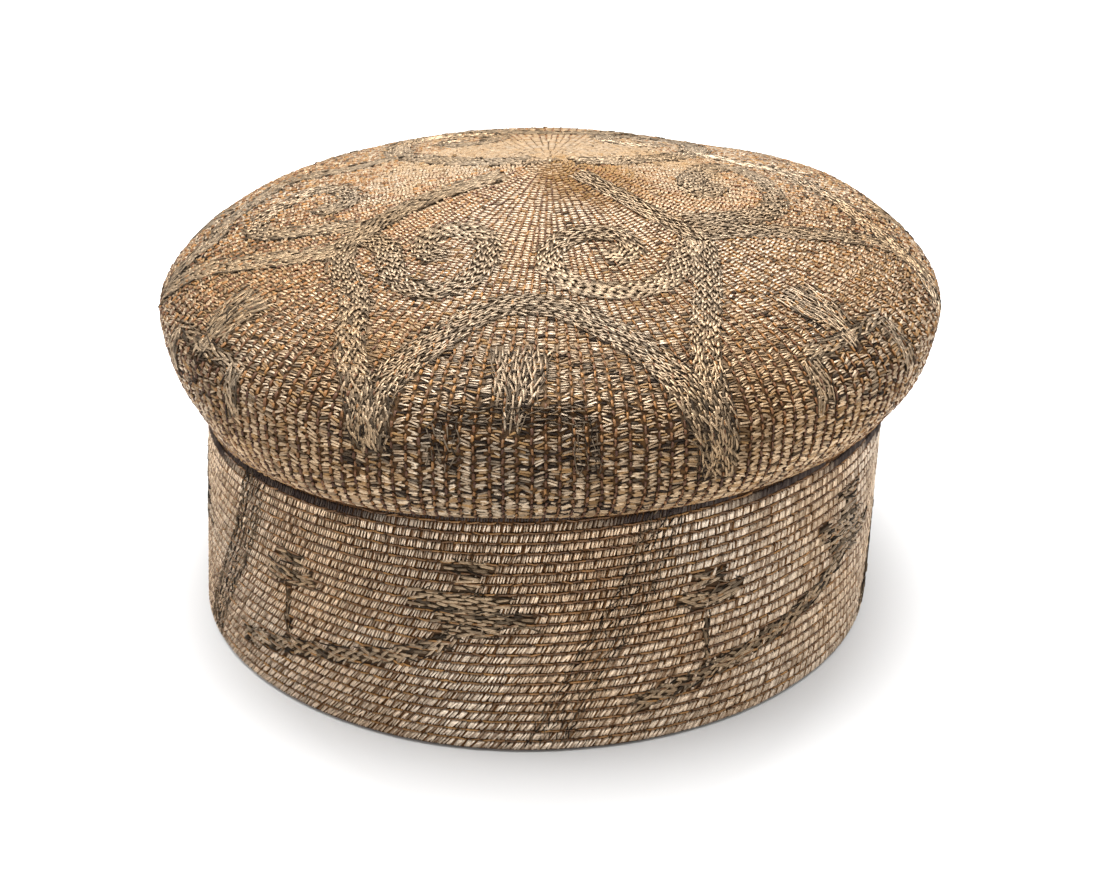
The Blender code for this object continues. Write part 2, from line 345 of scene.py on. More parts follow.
bandUnits = (-155.0, -83.0, -11.0, 60.0, 133.0)
bandSheet = (1.6, 64)       # millimetres of the band to one degree around, and from its rim to its seam
stripe = ((-41, 0.99), (-43, 0.88), (-45, 0.72), (-47.5, 0.57), (-51, 0.42),
          (-54, 0.28), (-57, 0.14), (-59, 0.01))
tendril = ((-46, 0.17), (-39, 0.215), (-31, 0.265), (-22, 0.31), (-14, 0.36),
           (-8, 0.41), (-4, 0.46), (-2, 0.50))
# azimuth from the cross of the unit in degrees, up as a share; width in millimetres; lean of the stitches,
# None where only dark cracks show
bandLines = (
    (stripe, 8.0, None),
    (tendril, 4.0, 0.40),
    (((-33, 0.29), (-33.5, 0.40), (-33.5, 0.50)), 1.0, 0.20),
    (((-39, 0.60), (-34, 0.575), (-27, 0.60)), 4.2, 0.15),
    (((-36.5, 0.67), (-31, 0.66)), 2.4, 0.15),
    (((-4.5, 0.79), (2.5, 0.785)), 3.2, 0.06),
    (((-3, 0.72), (1.5, 0.715)), 4.2, 0.06),
    (((-9.5, 0.645), (-2, 0.635), (6, 0.62)), 5.0, 0.10),
    (((-6, 0.575), (2, 0.57), (10, 0.56)), 4.2, 0.10),
    (((-4.5, 0.52), (4, 0.515)), 2.4, 0.06),
)


def evenPath(points, step):
    # a smooth curve through the charted points, with a place every step
    points = np.asarray(points, float)
    if len(points) > 2:
        ends = np.concatenate([2 * points[:1] - points[1:2], points, 2 * points[-1:] - points[-2:-1]])
        t = np.linspace(0, 1, 12, endpoint=False)[:, None]
        spans = []
        for a, b, c, d in zip(ends[:-3], ends[1:-2], ends[2:-1], ends[3:]):
            spans.append(0.5 * (2 * b + (c - a) * t + (2 * a - 5 * b + 4 * c - d) * t ** 2
                                + (3 * b - a - 3 * c + d) * t ** 3))
        points = np.concatenate(spans + [points[-1:]])
    run = np.concatenate([[0], np.cumsum(np.linalg.norm(np.diff(points, axis=0), axis=1))])
    at = np.linspace(0, run[-1], max(int(run[-1] / step), 3))
    return np.stack([np.interp(at, run, points[:, axis]) for axis in range(points.shape[1])], axis=-1)


def laneStitches(grid, azimuth, share, width, stitch, braid):
    # Rows of stitches side by side along a path, as arrays: place, direction, normal and half length.
    place, around, downward, normal = onSurface(grid, azimuth, share)
    tangent = unit(np.gradient(place, axis=0))
    turnScale, shareScale = clothScales(grid, azimuth, share)
    aside = (-(tangent * downward).sum(-1), (tangent * around).sum(-1))
    lanes = max(int(round(width / stitch["lane"])), 1)
    found = []
    middle = (lanes - 1) / 2
    for lane in range(-1, lanes + 1):
        outer = braid is None or lane in (-1, lanes)        # a dark thread along each side
        offset = np.clip(lane - middle, -middle - 0.62, middle + 0.62) * stitch["lane"]
        laneAzimuth = azimuth + offset * aside[0] / turnScale
        laneShare = np.clip(share + offset * aside[1] / shareScale, 0, 1)
        lanePlace, laneAround, laneDown, laneNormal = onSurface(grid, laneAzimuth, laneShare)
        run = np.concatenate([[0], np.cumsum(np.linalg.norm(np.diff(lanePlace, axis=0), axis=1))])
        count = max(int(run[-1] / stitch["length"]), 1)
        begin = (lane % 2) * 0.5 * stitch["length"]
        at = begin + (np.arange(count) + 0.5) * run[-1] / count + randomDraw.normal(0, 0.30 * mm, count)
        at = at[at < run[-1]]
        if len(at) == 0:
            continue
        laneTangent = unit(np.gradient(lanePlace, axis=0))
        columns = np.concatenate([lanePlace, laneTangent, laneNormal], axis=-1)
        read = np.stack([np.interp(at, run, columns[:, axis]) for axis in range(9)], axis=-1)
        half = 0.62 * run[-1] / count * randomDraw.uniform(0.6, 1.15, len(at))
        if not outer:
            sideways = np.cross(read[:, 6:9], read[:, 3:6])
            read[:, 3:6] += sideways * (braid if lane % 2 == 0 else -braid)
        edge = np.full(len(at), float(outer))
        found.append(np.concatenate([read, half[:, None], edge[:, None]], axis=-1))
    return np.concatenate(found)


def leaned(direction, normal, spread):
    sideways = np.cross(normal, direction)
    return unit(direction + sideways * randomDraw.normal(0, spread, len(direction))[:, None])


brickForm = {           # on the band, laid like bricks
    "length": 3.6 * mm,
    "lane": 0.95 * mm,
    "halfWidth": 0.66 * mm,
    "halfHeight": 0.34 * mm,
    "lift": 0.14 * mm,
    "mess": 0.12,
    "tone": (0.02, 0.46),
}
stitchForm = {          # on the crown
    "length": 2.6 * mm,
    "lane": 0.70 * mm,
    "halfWidth": 0.50 * mm,
    "halfHeight": 0.34 * mm,
    "lift": 0.15 * mm,
    "mess": 0.22,
    "tone": (0.10, 0.62),
}
leafForm = {"length": 3.8 * mm, "lane": 0.72 * mm}      # on a trefoil, with the crown's other values
crackForm = {"length": 2.7 * mm, "lane": 1.65 * mm, "halfWidth": 0.21 * mm, "mess": 0.34, "lift": 0.30 * mm}
paleAbove, paleOver = 113 * mm, 22 * mm     # stitches grow duller over this much height below it
pathStep = 1.5      # millimetres between the places that a line is worked out at


def crownPath(points):
    path = evenPath(points, pathStep)
    reach = np.hypot(path[:, 0], path[:, 1]) * mm
    return np.arctan2(path[:, 0], -path[:, 1]), np.interp(reach, crownReach, crownShares)


crownStitches = []
for points, width, braid in crownLines:
    crownStitches.append(laneStitches(crownGrid, *crownPath(points), width * mm, stitchForm, braid))
for azimuth, share, lean in trefoilSpots:
    middle = np.array([math.radians(azimuth)]), np.array([share])
    turnScale, shareScale = clothScales(crownGrid, *middle)
    lines = []
    for (x0, y0), (x1, y1), width in trefoilLeaf:
        lines.append(((x0 + lean, y0), (x1 + lean * 0.5, y1), width, trefoilLean))
    for start, end, width in trefoilFoot:
        lines.append((start, end, width, None if azimuth == wornTrefoil else trefoilLean))
    for start, end, width, braid in lines:
        path = evenPath((start, end), pathStep) * mm
        pathAzimuth = middle[0] + path[:, 0] / turnScale
        pathShare = middle[1] + path[:, 1] / shareScale
        form = crackForm if braid is None else leafForm
        crownStitches.append(laneStitches(crownGrid, pathAzimuth, pathShare, width * mm, form, braid))
bandStitches = []
for azimuth in bandUnits:
    for points, width, braid in bandLines:
        path = evenPath([(turn * bandSheet[0], share * bandSheet[1]) for turn, share in points], pathStep)
        pathAzimuth = np.radians(azimuth + path[:, 0] / bandSheet[0])
        form = crackForm if braid is None else brickForm
        pathShare = path[:, 1] / bandSheet[1]
        bandStitches.append(laneStitches(bandGrid, pathAzimuth, pathShare, width * mm, form, braid))


def spotted(place, spots, grid):
    # how strongly each place lies inside the charted spots
    total = np.zeros(len(place))
    for azimuth, share, reach, strength in spots:
        middle = onSurface(grid, np.array([math.radians(azimuth)]), np.array([share]))[0]
        away = np.linalg.norm(place - middle, axis=-1) / (reach * mm)
        total = np.maximum(total, strength * np.clip(1.3 - away, 0, 1))
    return total


def nearTree(points):
    tree = KDTree(len(points))
    for index, point in enumerate(points):
        tree.insert(point, index)
    tree.balance()
    return tree


def sewStitches(name, stitches, form, grid, duller):
    # the stitches as one piece, and where its pale and its dark ones lie
    stitches = np.concatenate(stitches)
    place, direction, normal = stitches[:, 0:3], unit(stitches[:, 3:6]), unit(stitches[:, 6:9])
    # none reaches under the rim
    above = place[:, 2] - stitches[:, 9] * np.abs(direction[:, 2]) > 0.4 * mm
    stitches, place, direction, normal = (part[above] for part in (stitches, place, direction, normal))
    count, outer = len(place), stitches[:, 10] > 0
    keys = ("halfWidth", "mess", "lift")
    halfWidth, mess, lift = (np.where(outer, crackForm[key], form[key]) for key in keys)
    sizes = np.stack([
        stitches[:, 9], halfWidth * randomDraw.uniform(0.75, 1.15, count),
        form["halfHeight"] * randomDraw.uniform(0.8, 1.2, count), np.full(count, 0.25 * mm),
        randomDraw.normal(0, 0.5, count) * mess * mm], axis=-1)
    # pale on the top of the cap, olive grey towards the rim of the crown and on the band
    low = np.clip((paleAbove - place[:, 2]) / paleOver, 0, 1)
    tone = 0.26 * (1 - low) + randomDraw.uniform(*form["tone"], count) - 0.7 * spotted(place, duller, grid)
    tarnishAndShade = np.clip(randomDraw.uniform(-1.6, 0.6, count) + 0.4 * low, 0, 1)
    tarnishAndShade = np.where(outer, randomDraw.uniform(0.2, 0.8, count) + 0.3 * low, tarnishAndShade).clip(0, 1)
    look = np.stack([np.clip(tone, 0, 1), tarnishAndShade, np.zeros(count)], axis=-1)
    lift = lift + randomDraw.normal(0, 0.08 * mm, count)
    lengthwise = leaned(direction, normal, mess)
    piece = joinThreads(name, place + normal * lift[:, None], lengthwise, normal, sizes, look)
    points = [place + direction * (shift * stitches[:, 9])[:, None] for shift in (-0.7, 0, 0.7)]
    points = np.concatenate(points)
    return piece, nearTree(points[np.tile(~outer, 3)]), nearTree(place[outer])


crownScrolls, crownTree, crownCracks = sewStitches(
    "crownScrolls", crownStitches, stitchForm, crownGrid, dullSpots)
bandScrolls, bandTree, bandCracks = sewStitches("bandScrolls", bandStitches, brickForm, bandGrid, ())
print("embroidery:", len(crownScrolls.data.polygons), "and", len(bandScrolls.data.polygons), "triangles")


def distances(tree, places, limit=4.0 * mm):
    # distance from each place to the nearest embroidery stitch
    return np.array([min(tree.find(point)[2], limit) for point in places])


# Band: level rows of short slanting strands over brown silk
rowForm = {
    "pitch": 2.72 * mm,
    "climb": 0.07,                  # rows stand further apart at the right
    "aboveRim": 0.45 * mm,
    "strand": 0.60 * mm,
    "block": 4,                     # three strands of metal thread and one of brown silk
    "halfWidth": 0.34 * mm,
    "halfHeight": 0.46 * mm,
    "bend": 0.34 * mm,
    "slantTop": 12.0,               # degrees from upright, under the seam and at the rim
    "slantRim": 36.0,
    "clear": 0.75 * mm,             # room left around the embroidery
    "dyeAndShadeDepth": 3.6 * mm,               # the dark red rows under the lip, red dye darkened with painted shade from the overhang, reach this far down
    "dyeAndShadeFade": 1.2 * mm,
}


def rowHeight(row, azimuth):
    level = row * rowForm["pitch"] * (1 + rowForm["climb"] * np.sin(azimuth)) + rowForm["aboveRim"]
    return level + 0.14 * mm * softNoise(azimuth, row / 24, 5, 14)


def bandRows():
    rows = int(seamHeight(np.linspace(-math.pi, math.pi, 90)).max() / rowForm["pitch"]) + 1
    blocks = int(2 * math.pi * capForm["bandRadius"] / rowForm["strand"] / rowForm["block"])
    count = blocks * rowForm["block"]
    azimuths, heights, rowOf, brown = [], [], [], []
    for row in range(rows):
        index = np.arange(count)
        inBlock = index % rowForm["block"]
        turn = index + 0.12 * (inBlock - 1) + randomDraw.uniform(0, rowForm["block"])
        turn = turn / count * 2 * math.pi
        azimuths.append(wrapped(turn + randomDraw.normal(0, 0.16, count) / count * 2 * math.pi))
        heights.append(rowHeight(row + 0.5, azimuths[-1]))
        rowOf.append(np.full(count, row))
        brown.append(inBlock == rowForm["block"] - 1)
    azimuth, height, row, brown = (np.concatenate(part) for part in (azimuths, heights, rowOf, brown))
    seam = seamHeight(azimuth)
    kept = height < seam - 0.05 * rowForm["pitch"]
    return azimuth[kept], (height / seam)[kept], row[kept], (seam - height)[kept], brown[kept]


azimuth, share, row, underSeam, brown = bandRows()
place, around, upward, normal = onSurface(bandGrid, azimuth, share)
apart = distances(bandTree, place)
kept = apart > rowForm["clear"]
azimuth, share, row = azimuth[kept], share[kept], row[kept]
underSeam, brown, apart = underSeam[kept], brown[kept], apart[kept]
place, around, upward, normal = place[kept], around[kept], upward[kept], normal[kept]
count = len(place)
slant = rowForm["slantRim"] + (rowForm["slantTop"] - rowForm["slantRim"]) * np.clip(share * 1.1, 0, 1)
slant = np.radians(slant + 5 * softNoise(azimuth, share, 8) + randomDraw.normal(0, 5.0, count))
direction = unit(upward * np.cos(slant)[:, None] + around * np.sin(slant)[:, None] - 0.16 * normal)
sizes = np.stack([
    0.44 * rowForm["pitch"] / np.cos(slant) * randomDraw.uniform(0.93, 1.05, count),
    rowForm["halfWidth"] * randomDraw.uniform(0.85, 1.12, count) * np.where(brown, 0.75, 1),
    rowForm["halfHeight"] * randomDraw.uniform(0.85, 1.15, count) * np.where(brown, 0.80, 1),
    np.full(count, rowForm["bend"]), randomDraw.normal(0, 0.07, count) * mm], axis=-1)
blockTone = np.random.default_rng(3).uniform(0, 1, (40, 400))       # a length of thread keeps its tone
blockColumn = ((azimuth + math.pi) * 38).astype(int) % 400
tone = 0.7 * randomDraw.uniform(0, 1, count) + 0.3 * blockTone[row % 40, blockColumn]
topRowHighlight = 0.35 * np.clip((share - 0.78) * 8, 0, 1) * (tone > 0.4)      # painted highlight on the paler strands in the top rows
# painted light from the band's paler spots
tone = tone + spotted(place, bandPaintedLight, bandGrid) + topRowHighlight
tone = np.clip(tone, 0, 1)
# darker near the embroidery: tarnish, with painted shade beside the raised stitches
tarnishAndShade = np.clip(0.75 - apart / (2.4 * mm), 0, 1) * randomDraw.uniform(0.2, 1, count)
tarnishAndShade = np.maximum(tarnishAndShade, (randomDraw.uniform(0, 1, count) > 0.95) * 0.7)
tarnishAndShade = np.maximum(tarnishAndShade, brown * randomDraw.uniform(0.5, 1.1, count))
cracked = np.clip(1.2 - distances(bandCracks, place) / (1.3 * mm), 0, 1)
tarnishAndShade = np.maximum(tarnishAndShade, cracked * randomDraw.uniform(0, 0.4, count))
tarnishAndShade = np.maximum(tarnishAndShade, spotted(place, bandSpots, bandGrid) * randomDraw.uniform(0, 1.3, count))
# dark red dye with painted shade under the crown's lip, fading out below the seam
lipDyeAndShade = np.clip((rowForm["dyeAndShadeDepth"] - underSeam) / rowForm["dyeAndShadeFade"], 0, 1) * randomDraw.uniform(0.92, 1, count)
look = np.stack([tone, np.clip(tarnishAndShade, 0, 1), lipDyeAndShade], axis=-1)
bandPieces = []
for name, chosen in (("bandThreadsLow", share < 0.5), ("bandThreadsHigh", share >= 0.5)):
    piece = joinThreads(name, *(part[chosen] for part in (place, direction, normal, sizes, look)))
    bandPieces.append(piece)
    print(name, len(piece.data.polygons), "triangles")

# Crown: ribs from the peak to the rim, each crossed by short strands
# More ribs begin as the crown widens. A pair of values is for the top and for the rim.
ribForm = {
    "ribs": 196,
    "innerPitch": 1.70 * mm,
    "firstReach": 1.6 * mm,
    "finerFrom": 84 * mm,           # the strands are finer from here to the rim
    "strand": (1.05 * mm, 0.63 * mm),
    "halfWidth": (0.60 * mm, 0.36 * mm),
    "halfHeight": (0.46 * mm, 0.42 * mm),
    "bend": 0.34 * mm,
    "sag": (0.10 * mm, 0.42 * mm),
    "slant": 0.14,
    "mess": (0.15, 0.22),
    "silkStep": 2.3 * mm,
    "clear": (0.70 * mm, 0.30 * mm),        # room left around the embroidery
    "change": (40 * mm, 90 * mm),           # from the top's values to the rim's
    "shares": (0, 0.33, 0.66, 1),           # rough radii of the crown, for the number of ribs
    "radii": (0, 62 * mm, 102.1 * mm, 90.5 * mm),
}


def ribOrder(ribs):
    # the order in which ribs begin, spread evenly round the crown
    golden = (np.arange(ribs) * 0.61803398875) % 1.0
    order = np.empty(ribs, int)
    order[np.argsort(np.argsort(golden))] = np.arange(ribs)
    return order


def crownRibs(rings, step):
    # where each rib is crossed: azimuth, width of the rib in radians, reach, number of the rib,
    # and distance from the embroidery
    ribs = ribForm["ribs"]
    rank = ribOrder(ribs)
    draw = np.random.default_rng(7)
    turns = (np.arange(ribs) + draw.normal(0, 0.10, ribs)) / ribs * 2 * math.pi
    phase = draw.uniform(-0.5, 0.5, ribs)
    parts = []
    for reach in rings:
        radius = np.interp(np.interp(reach, crownReach, crownShares), ribForm["shares"], ribForm["radii"])
        active = np.flatnonzero(rank < max(2 * math.pi * radius / ribForm["innerPitch"], 5))
        turn = turns[active]
        after = np.concatenate([turn[1:], turn[:1] + 2 * math.pi])
        before = np.concatenate([turn[-1:] - 2 * math.pi, turn[:-1]])
        moved = reach + step * (phase[active] + randomDraw.normal(0, 0.07, len(active)))
        middle = (before + 2 * turn + after) / 4
        parts.append(np.stack([middle, (after - before) / 2, moved, active], axis=-1))
    cells = np.concatenate(parts)
    cells = cells[(cells[:, 2] > 0.8 * mm) & (cells[:, 2] < crownReach[-1] - 0.8 * mm)]
    azimuth, cell, reach = wrapped(cells[:, 0]), cells[:, 1], cells[:, 2]
    place = onSurface(crownGrid, azimuth, np.interp(reach, crownReach, crownShares))[0]
    apart = distances(crownTree, place)
    kept = apart > np.interp(reach, ribForm["change"], ribForm["clear"])
    return azimuth[kept], cell[kept], reach[kept], cells[kept, 3].astype(int), apart[kept]


def fromTop(values, outward):
    return values[0] + (values[1] - values[0]) * outward


topRings = np.arange(ribForm["firstReach"], ribForm["finerFrom"], ribForm["strand"][0])
rimRings = np.arange(ribForm["finerFrom"], crownReach[-1], ribForm["strand"][1])
found = [crownRibs(topRings, ribForm["strand"][0]), crownRibs(rimRings, ribForm["strand"][1])]
azimuth, cell, reach, rib, apart = (np.concatenate(part) for part in zip(*found))
share = np.interp(reach, crownReach, crownShares)
place, around, downward, normal = onSurface(crownGrid, azimuth, share)
count = len(place)
turnScale = clothScales(crownGrid, azimuth, share)[0]
outward = np.interp(reach, ribForm["change"], (0, 1))
fine = reach > ribForm["finerFrom"]
chevron = ribForm["slant"] * np.where(rib % 2 == 0, 1, -1)
chevron = chevron + randomDraw.normal(0, 1, count) * fromTop(ribForm["mess"], outward)
place = place + normal * (randomDraw.normal(0, 0.07, count) * mm)[:, None]
place = place + around * (randomDraw.normal(0, 0.12, count) * mm * outward)[:, None]
direction = leaned(unit(around + downward * chevron[:, None]), normal, 0.02)
calm = (1 - outward) * np.clip(0.7 - 0.6 * np.cos(azimuth), 0, 1)       # evener behind the peak
halfLength = (0.55 - 0.04 * outward + 0.03 * calm) * cell * turnScale
halfLength = halfLength * (1 + randomDraw.uniform(-0.14, 0.08, count))
broken = randomDraw.uniform(0, 1, count) < 0.5 * outward        # strands that end or begin inside their rib
place = place + around * (randomDraw.uniform(-0.35, 0.35, count) * broken * halfLength)[:, None]
halfLength = halfLength * np.where(broken, randomDraw.uniform(0.5, 0.8, count), 1)
sizes = np.stack([
    halfLength,
    fromTop(ribForm["halfWidth"], fine) * randomDraw.uniform(0.85, 1.15, count),
    fromTop(ribForm["halfHeight"], fine) * randomDraw.uniform(0.85, 1.15, count),
    ribForm["bend"] * (1 - 0.6 * calm),
    fromTop(ribForm["sag"], outward) * randomDraw.normal(1, 0.35, count)], axis=-1)
tone = randomDraw.uniform(0, 1, count) ** (0.8 + 1.0 * outward)
tone = (0.40 - 0.16 * calm) * (1 - outward) + tone * (0.60 + 0.36 * outward - 0.25 * calm)
# painted light: paler threads on the rim at the right
tone = np.clip(tone + spotted(place, paintedLightSpots, crownGrid), 0, 1)
# darker near the embroidery: tarnish, with painted shade beside the raised stitches
tarnishAndShade = np.clip(0.75 - apart / (2.4 * mm), 0, 1) * randomDraw.uniform(0.0, 0.7, count)
speck = randomDraw.uniform(0, 1, count) > 0.96 - 0.30 * outward
tarnishAndShade = np.maximum(tarnishAndShade, speck * randomDraw.uniform(0.3, 1, count))
# darker spots; the wide one low on the front of the crown is painted shade
tarnishAndShade = tarnishAndShade + spotted(place, darkerAndShadedSpots, crownGrid) * randomDraw.uniform(0.3, 1.5, count)
tarnishAndShade = np.clip(tarnishAndShade, 0, 1)
cracked = np.clip(1.2 - distances(crownCracks, place) / (1.8 * mm), 0, 1) * outward
tarnishAndShade = np.clip(tarnishAndShade + cracked * randomDraw.uniform(0.1, 0.7, count), 0, 1)
dyedShare = np.interp(reach, (38 * mm, 58 * mm), (0.05, 0.20))
silk = (randomDraw.uniform(0, 1, count) < dyedShare) * randomDraw.uniform(0.4, 1, count)
silk = np.maximum(silk, calm * randomDraw.uniform(0.15, 0.7, count))
silk = np.maximum(silk, spotted(place, silkSpots, crownGrid) * randomDraw.uniform(0.5, 1.4, count))
# inside the lip the dyed silk colour takes over, the silk's own colour, with the painted shade below
silk = np.clip(np.maximum(silk, (share - 0.88) * 12), 0, 1)
tarnishAndShade = np.maximum(tarnishAndShade, np.clip((share - 0.90) * 12, 0, 0.8))     # painted shade inside the lip, under the overhang
look = np.stack([tone, tarnishAndShade, silk], axis=-1)
crownPieces = []
for name, chosen in (("crownThreadsTop", ~fine), ("crownThreadsRim", fine)):
    piece = joinThreads(name, *(part[chosen] for part in (place, direction, normal, sizes, look)))
    crownPieces.append(piece)
    print(name, len(piece.data.polygons), "triangles")


def silkStitches(name, grid, azimuth, share, sizes, level, dark):
    # couching silk: short stitches along the outline, or around when level
    place, around, downward, normal = onSurface(grid, azimuth, share)
    count = len(place)
    direction = leaned(around if level else downward, normal, 0.12)
    tarnishAndShade = np.clip(dark + randomDraw.uniform(-0.3, 0.5, count), 0, 1)
    look = np.stack([randomDraw.uniform(0, 1, count), tarnishAndShade, np.zeros(count)], axis=-1)
    sizes = sizes * randomDraw.uniform(0.8, 1.2, (count, 5))
    place = place + normal * randomDraw.normal(0, 0.05 * mm, count)[:, None]
    return joinThreads(name, place, direction, normal, sizes, look)


silkRings = np.arange(9 * mm, crownReach[-1], ribForm["silkStep"])
silkAzimuth, silkCell, silkReach = crownRibs(silkRings, ribForm["silkStep"])[:3]
fewer = np.where(silkReach < 50 * mm, 0.5 - np.cos(silkAzimuth), 0)     # behind the peak
silkShown = randomDraw.uniform(0, 1, len(silkReach)) > fewer
silkAzimuth, silkCell, silkReach = silkAzimuth[silkShown], silkCell[silkShown], silkReach[silkShown]
silkAzimuth = wrapped(silkAzimuth + silkCell / 2)
silkShare = np.interp(silkReach, crownReach, crownShares)
silkOut = np.interp(silkReach, ribForm["change"], (0, 1))
silkSizes = np.array([1.0, 1.0, 0.44, 0.10, 0.0]) * mm * np.ones((len(silkReach), 1))
silkSizes[:, 0] *= fromTop((1.35, 0.95), silkOut) * randomDraw.uniform(0.7, 1.1, len(silkReach))
silkSizes[:, 1] *= fromTop((0.27, 0.46), silkOut)
silkSizes[:, 4] = randomDraw.normal(0, 0.25, len(silkReach)) * silkOut * mm
# brown near the peak at the front, golden at the sides, rust at the rim
silkDark = 0.35 * (1 - silkOut) * np.clip(1.2 * np.cos(silkAzimuth), 0, 1)
silkDark = silkDark + 0.65 * np.clip((silkShare - 0.52) * 6, 0, 1)
crownSilk = silkStitches("crownSilk", crownGrid, silkAzimuth, silkShare, silkSizes, False, silkDark)
rowSilkCount = int(2 * math.pi * capForm["bandRadius"] / (2.9 * mm))
rowSilkTurn, rowSilkRow = (part.ravel() for part in np.meshgrid(
    np.arange(rowSilkCount) / rowSilkCount * 2 * math.pi - math.pi, np.arange(1, 24), indexing="ij"))
rowSilkTurn = wrapped(rowSilkTurn + randomDraw.uniform(0, 0.02, len(rowSilkTurn)))
rowSilkHeight = rowHeight(rowSilkRow, rowSilkTurn)
rowSilkShare = rowSilkHeight / seamHeight(rowSilkTurn)
rowSilkShown = rowSilkShare < 0.98
rowSilkSizes = np.array([1.7, 0.27, 0.38, 0.05, 0.0]) * mm
bandSilk = silkStitches(
    "bandSilk", bandGrid, rowSilkTurn[rowSilkShown], rowSilkShare[rowSilkShown], rowSilkSizes, True, 0.1)
print("silk:", len(crownSilk.data.polygons), "and", len(bandSilk.data.polygons), "triangles")


def clothShell(name, grid, shares, turns, peak, tree):
    # The cloth under the threads: rings extruded along the outline, with a wall turned inward.
    form = bmesh.new()
    turnLayer = form.verts.layers.float.new("azimuth")
    underLayer = form.verts.layers.float.new("under")       # 1 under the embroidery, where the cloth gets painted shade
    ring = bmesh.ops.create_circle(form, segments=turns, radius=1)["verts"]
    for vertex in ring:
        vertex[turnLayer] = math.atan2(vertex.co.x, -vertex.co.y)
    edges = list(form.edges)
    for step, share in enumerate(shares):
        if step > 0:
            made = bmesh.ops.extrude_edge_only(form, edges=edges)["geom"]
            ring = [part for part in made if isinstance(part, bmesh.types.BMVert)]
            edges = [part for part in made if isinstance(part, bmesh.types.BMEdge) and part.is_boundary]
        azimuth = np.array([vertex[turnLayer] for vertex in ring])
        place, around, downward, normal = onSurface(grid, azimuth, np.full(len(ring), share))
        apart = distances(tree, place)
        for vertex, point, away in zip(ring, place - normal * capForm["clothDepth"], apart):
            vertex.co = point
            vertex[underLayer] = min(max(1.5 - away / (1.0 * mm), 0), 1)
    if peak:
        top = Vector((0, 0, capForm["peakHeight"] - capForm["clothDepth"]))
        bmesh.ops.pointmerge(form, verts=ring, merge_co=top)
    bmesh.ops.recalc_face_normals(form, faces=form.faces)
    mesh = bpy.data.meshes.new(name)
    form.to_mesh(mesh)
    form.free()
    mesh.shade_smooth()
    piece = linked(name, mesh)
    wall = piece.modifiers.new("Wall", "SOLIDIFY")
    wall.thickness = capForm["clothWall"]
    wall.offset = -1
    wall.material_offset = 1
    return piece


crownCloth = clothShell("crownCloth", crownGrid, np.linspace(1, 0.005, 84), 240, True, crownTree)
bandCloth = clothShell("bandCloth", bandGrid, np.linspace(0.005, 1, 40), 240, False, bandTree)
print("cloth:", len(crownCloth.data.polygons), "and", len(bandCloth.data.polygons), "faces")


# Materials
def newGroup(name, inputs, outputs):
    group = bpy.data.node_groups.new(name, "ShaderNodeTree")
    for label, kind, value in inputs:
        group.interface.new_socket(label, in_out="INPUT", socket_type=kind).default_value = value
    for label, kind in outputs:
        group.interface.new_socket(label, in_out="OUTPUT", socket_type=kind)
    return group, group.nodes.new("NodeGroupInput"), group.nodes.new("NodeGroupOutput")


def addNode(tree, kind, values=(), **settings):
    node = tree.nodes.new(kind)
    for name, value in settings.items():
        setattr(node, name, value)
    for name, value in values:
        if isinstance(value, bpy.types.NodeSocket):
            tree.links.new(value, node.inputs[name])
        else:
            node.inputs[name].default_value = value
    return node


def mixed(tree, factor, first, second, blend="MIX"):
    sockets = [(0, factor), (6, first), (7, second)]
    return addNode(tree, "ShaderNodeMix", sockets, data_type="RGBA", blend_type=blend).outputs[2]


def spread(tree, value, low, high, toLow, toHigh):
    values = [("Value", value), ("From Min", low), ("From Max", high), ("To Min", toLow), ("To Max", toHigh)]
    return addNode(tree, "ShaderNodeMapRange", values).outputs[0]


def noise(tree, position, scale, detail):
    values = [("Vector", position), ("Scale", scale), ("Detail", detail)]
    return addNode(tree, "ShaderNodeTexNoise", values).outputs[0]


def calculated(tree, operation, *values, **settings):
    return addNode(tree, "ShaderNodeMath", enumerate(values), operation=operation, **settings).outputs[0]


